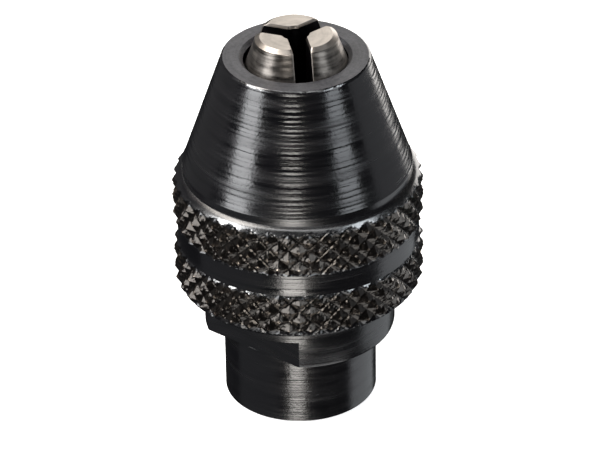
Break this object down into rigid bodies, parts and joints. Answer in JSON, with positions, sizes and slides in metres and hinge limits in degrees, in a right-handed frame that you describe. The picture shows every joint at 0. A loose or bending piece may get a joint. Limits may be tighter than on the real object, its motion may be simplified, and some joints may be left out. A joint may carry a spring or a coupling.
{
  "type": "drill chuck",
  "caption": "Keyless drill chuck for a rotary tool: threaded spindle body, knurled screw-on nose sleeve with an inner cone, and sliding jaws parted by small springs.",
  "frame": {"origin": "centre of the neck's seating face, where the chuck meets the tool's spindle", "axes": "+Z along the chuck's axis, towards the drill; one slot between two jaws is 10 degrees from -Y, towards +X"},
  "size_m": [0.017, 0.017, 0.0274],
  "materials": {
    "spindle_steel": "black oxide on turned steel, satin",
    "sleeve_steel": "black oxide on turned steel, satin",
    "jaw_steel": "bare ground tool steel",
    "washer_steel": "ground and hardened steel",
    "spring_steel": "drawn spring wire"
  },
  "bodies": {
    "spindle": {"spindle_body": "spindle_steel"},
    "jaw_seat": {"thrust_washer": "washer_steel"},
    "sleeve": {"nose_sleeve": "sleeve_steel"},
    "jaw_1": {"jaw_1": "jaw_steel"},
    "spring_1": {"jaw_spring_1": "spring_steel"},
    "jaw_2": {"jaw_2": "jaw_steel"},
    "spring_2": {"jaw_spring_2": "spring_steel"},
    "jaw_3": {"jaw_3": "jaw_steel"},
    "spring_3": {"jaw_spring_3": "spring_steel"}
  },
  "joints": [
    {"name": "sleeve_turn", "type": "hinge", "parent": "spindle", "child": "jaw_seat", "pos_m": [0, 0, 0.0152], "axis": [0, 0, 1], "range_deg": [-633.6, 811.2]},
    {"name": "sleeve_advance", "type": "slide", "parent": "jaw_seat", "child": "sleeve", "axis": [0, 0, 1], "range_m": [-0.00176, 0.00225]},
    {"name": "jaw_1_slide", "type": "slide", "parent": "jaw_seat", "child": "jaw_1", "axis": [-0.1736, 0.9848, 0], "range_m": [-0.00065, 0.00083]},
    {"name": "spring_1_stretch", "type": "slide", "parent": "jaw_1", "child": "spring_1", "axis": [-0.342, -0.9397, 0], "range_m": [-0.00112, 0.00144], "deforming": ["jaw_spring_1"]},
    {"name": "jaw_2_slide", "type": "slide", "parent": "jaw_seat", "child": "jaw_2", "axis": [-0.766, -0.6428, 0], "range_m": [-0.00065, 0.00083]},
    {"name": "spring_2_stretch", "type": "slide", "parent": "jaw_2", "child": "spring_2", "axis": [0.9848, 0.1736, 0], "range_m": [-0.00112, 0.00144], "deforming": ["jaw_spring_2"]},
    {"name": "jaw_3_slide", "type": "slide", "parent": "jaw_seat", "child": "jaw_3", "axis": [0.9397, -0.342, 0], "range_m": [-0.00065, 0.00083]},
    {"name": "spring_3_stretch", "type": "slide", "parent": "jaw_3", "child": "spring_3", "axis": [-0.6428, 0.766, 0], "range_m": [-0.00112, 0.00144], "deforming": ["jaw_spring_3"]}
  ],
  "couplings": [
    {"joint": "sleeve_turn", "follows": "sleeve_advance", "rad_per_m": 6283.2},
    {"joint": "jaw_1_slide", "follows": "sleeve_advance", "ratio": 0.36397},
    {"joint": "spring_1_stretch", "follows": "sleeve_advance", "ratio": 0.63041},
    {"joint": "jaw_2_slide", "follows": "sleeve_advance", "ratio": 0.36397},
    {"joint": "spring_2_stretch", "follows": "sleeve_advance", "ratio": 0.63041},
    {"joint": "jaw_3_slide", "follows": "sleeve_advance", "ratio": 0.36397},
    {"joint": "spring_3_stretch", "follows": "sleeve_advance", "ratio": 0.63041}
  ]
}
